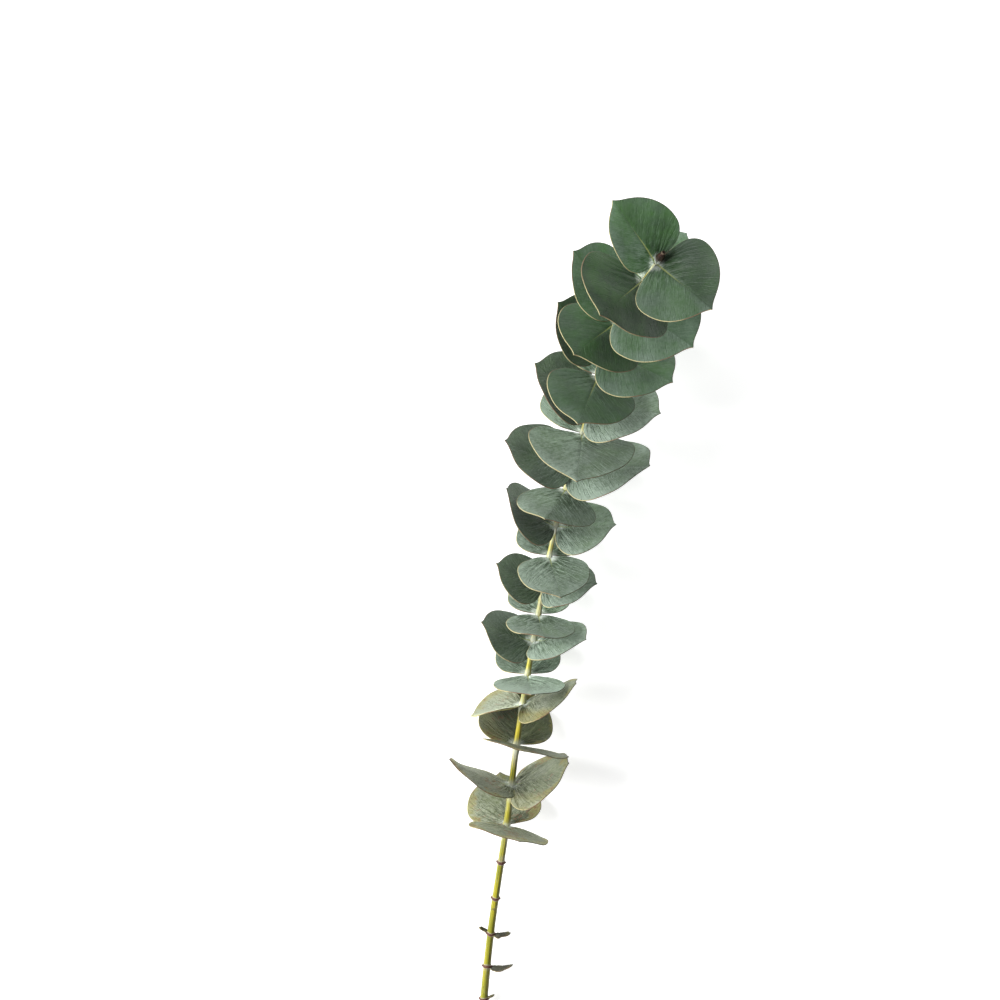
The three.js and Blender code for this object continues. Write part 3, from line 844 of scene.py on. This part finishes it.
# Two closed scales round the end of the stem: the radius swells from the stem by a sine and
# narrows to a small open mouth with a hollow in it, and a groove runs up both sides where
# the scales meet.
def budSurface():
    h = np.linspace(0, 1, bud["rows"])[:, None]
    a = np.linspace(0, 2 * np.pi, bud["sides"], endpoint=False)[None, :]
    rise = h[:, 0] * (bud["foot"] + bud["length"]) - bud["foot"]
    point, along, over, side = stemFrame(stemLength + np.minimum(rise, 0))
    point = point + along * np.maximum(rise, 0)[:, None]
    start = plainRadius(stemLength - bud["foot"]) + 0.1
    swell = (bud["radius"] - start) * 1.4 * np.sin(np.pi * h ** 0.8) ** 1.2
    radius = start + (bud["mouth"] - start) * h + swell
    radius = radius + bud["lip"] * bump(h, 0.95, 0.035)
    groove = bump(np.cos(a), 0, bud["seamWidth"])
    radius = radius * (1 - bud["seam"] * groove * np.sin(np.pi * h))
    radius = radius * (1 + 0.05 * np.sin(7 * a + 5 * h))
    ring = over[:, None] * np.sin(a)[..., None] + side[:, None] * np.cos(a)[..., None]
    grid = point[:, None] + ring * radius[..., None]

    # the mouth: the last ring drawn in and pushed down
    shrink = np.array([0.7, 0.35])[:, None, None]
    depth = np.array([0.25, 0.6])[:, None, None]
    hollow = point[-1] + (grid[-1] - point[-1])[None] * shrink - along[-1] * depth
    grid = np.concatenate([grid, hollow], axis=0)
    height = np.concatenate([h + 0 * a, np.full((2, bud["sides"]), 1.1)], axis=0)
    marks = np.stack([height, groove + 0 * height, 0 * height], axis=-1)
    return grid[:, ::-1], {"marks": marks[:, ::-1]}


# Dark brown scales with red-brown patches, darker in the groove, paler on the lip, and
# dusted white at the foot.
def makeBudMaterial():
    material, tree, surface = newMaterial("budScale")
    height, groove, _ = splitVector(tree, readAttribute(tree, "marks"))
    spot = addNode(tree, "ShaderNodeTexCoord").outputs["Object"]
    grain = noiseValue(tree, spot, 1800.0, 3.0)
    patch = noiseValue(tree, spot, 600.0, 2.0)
    dark, pale = (0.02, 0.014, 0.01, 1), (0.065, 0.045, 0.03, 1)
    colour = layColour(tree, ease(tree, grain, 0.35, 0.65), dark, pale)
    colour = layColour(tree, ease(tree, patch, 0.5, 0.65, 0.0, 0.8), colour, (0.05, 0.012, 0.01, 1))
    colour = layColour(tree, multiply(tree, groove, 0.7), colour, (0.015, 0.01, 0.008, 1))
    lip = multiply(tree, ease(tree, height, 0.86, 0.93), ease(tree, height, 0.98, 1.04, 1.0, 0.0))
    colour = layColour(tree, lip, colour, (0.14, 0.1, 0.07, 1))
    dust = ease(tree, multiplyAdd(tree, grain, 0.5, height), 0.4, 0.75, 0.9, 0.0)
    colour = layColour(tree, dust, colour, (0.62, 0.68, 0.6, 1))
    relief = addNode(tree, "ShaderNodeBump", {"Height": grain, "Distance": 0.0002})
    tree.links.new(colour, surface.inputs["Base Color"])
    tree.links.new(ease(tree, dust, 0.0, 1.0, 0.55, 0.8), surface.inputs["Roughness"])
    surface.inputs["Specular IOR Level"].default_value = 0.2
    tree.links.new(relief.outputs[0], surface.inputs["Normal"])
    return material


grid, attributes = budSurface()
settle(closedGrid("bud_scales", grid, attributes), "bud", makeBudMaterial())
print("bud made")


studio = {
    "floorSize": 6.0,
    "tilt": 12.0,                       # degrees from straight down, from the tip's side
    "lookAt": (-0.035, 0.054, 0.0),
    "distance": 1.5,
    "lens": 120.0,
    "worldStrength": 0.26,
    "floorGlow": 0.6,                   # the floor is a faint light table
    "lightTarget": (0.0, 0.05, 0.0),
    # place, size and power of each soft light
    "lights": {
        "keyLight": ((-1.7, 0.35, 1.0), 1.4, 64.0),
        "fillLight": ((1.0, 0.9, 1.8), 1.6, 4.0),
    },
}


def makeFloor():
    half = studio["floorSize"] / 2
    mesh = bpy.data.meshes.new("floor")
    corners = [(-half, -half, 0), (half, -half, 0), (half, half, 0), (-half, half, 0)]
    mesh.from_pydata(corners, [], [(0, 1, 2, 3)])
    floor = bpy.data.objects.new("floor", mesh)
    bpy.context.collection.objects.link(floor)
    material, tree, surface = newMaterial("paleFloor")
    spot = addNode(tree, "ShaderNodeTexCoord").outputs["Object"]
    tint = noiseValue(tree, spot, 3.0)
    colour = layColour(tree, tint, (0.93, 0.93, 0.93, 1), (0.95, 0.95, 0.95, 1))
    tree.links.new(colour, surface.inputs["Base Color"])
    surface.inputs["Roughness"].default_value = 0.9
    surface.inputs["Specular IOR Level"].default_value = 0.1
    surface.inputs["Emission Color"].default_value = (1, 1, 1, 1)
    surface.inputs["Emission Strength"].default_value = studio["floorGlow"]
    mesh.materials.append(material)


def makeLights():
    world = bpy.data.worlds.new("softStudio")
    world.use_nodes = True
    world.node_tree.nodes["Background"].inputs["Color"].default_value = (1, 1, 1, 1)
    world.node_tree.nodes["Background"].inputs["Strength"].default_value = studio["worldStrength"]
    bpy.context.scene.world = world
    for name, (place, size, power) in studio["lights"].items():
        light = bpy.data.lights.new(name, "AREA")
        light.shape = "DISK"
        light.size = size
        light.energy = power
        lamp = bpy.data.objects.new(name, light)
        lamp.location = place
        toTarget = Vector(studio["lightTarget"]) - Vector(place)
        lamp.rotation_euler = toTarget.to_track_quat("-Z", "Y").to_euler()
        bpy.context.collection.objects.link(lamp)


def makeCamera():
    tilt = np.radians(studio["tilt"])
    camera = bpy.data.cameras.new("camera")
    camera.lens = studio["lens"]
    camera.sensor_width = 36.0
    camera.clip_start, camera.clip_end = 0.05, 20.0
    eye = bpy.data.objects.new("camera", camera)
    back = Vector((0, np.sin(tilt), np.cos(tilt)))
    eye.location = Vector(studio["lookAt"]) + back * studio["distance"]
    eye.rotation_euler = (-tilt, 0, 0)
    bpy.context.collection.objects.link(eye)
    bpy.context.scene.camera = eye


makeFloor()
makeLights()
makeCamera()
bpy.context.scene.view_settings.view_transform = "Standard"
print("studio made")
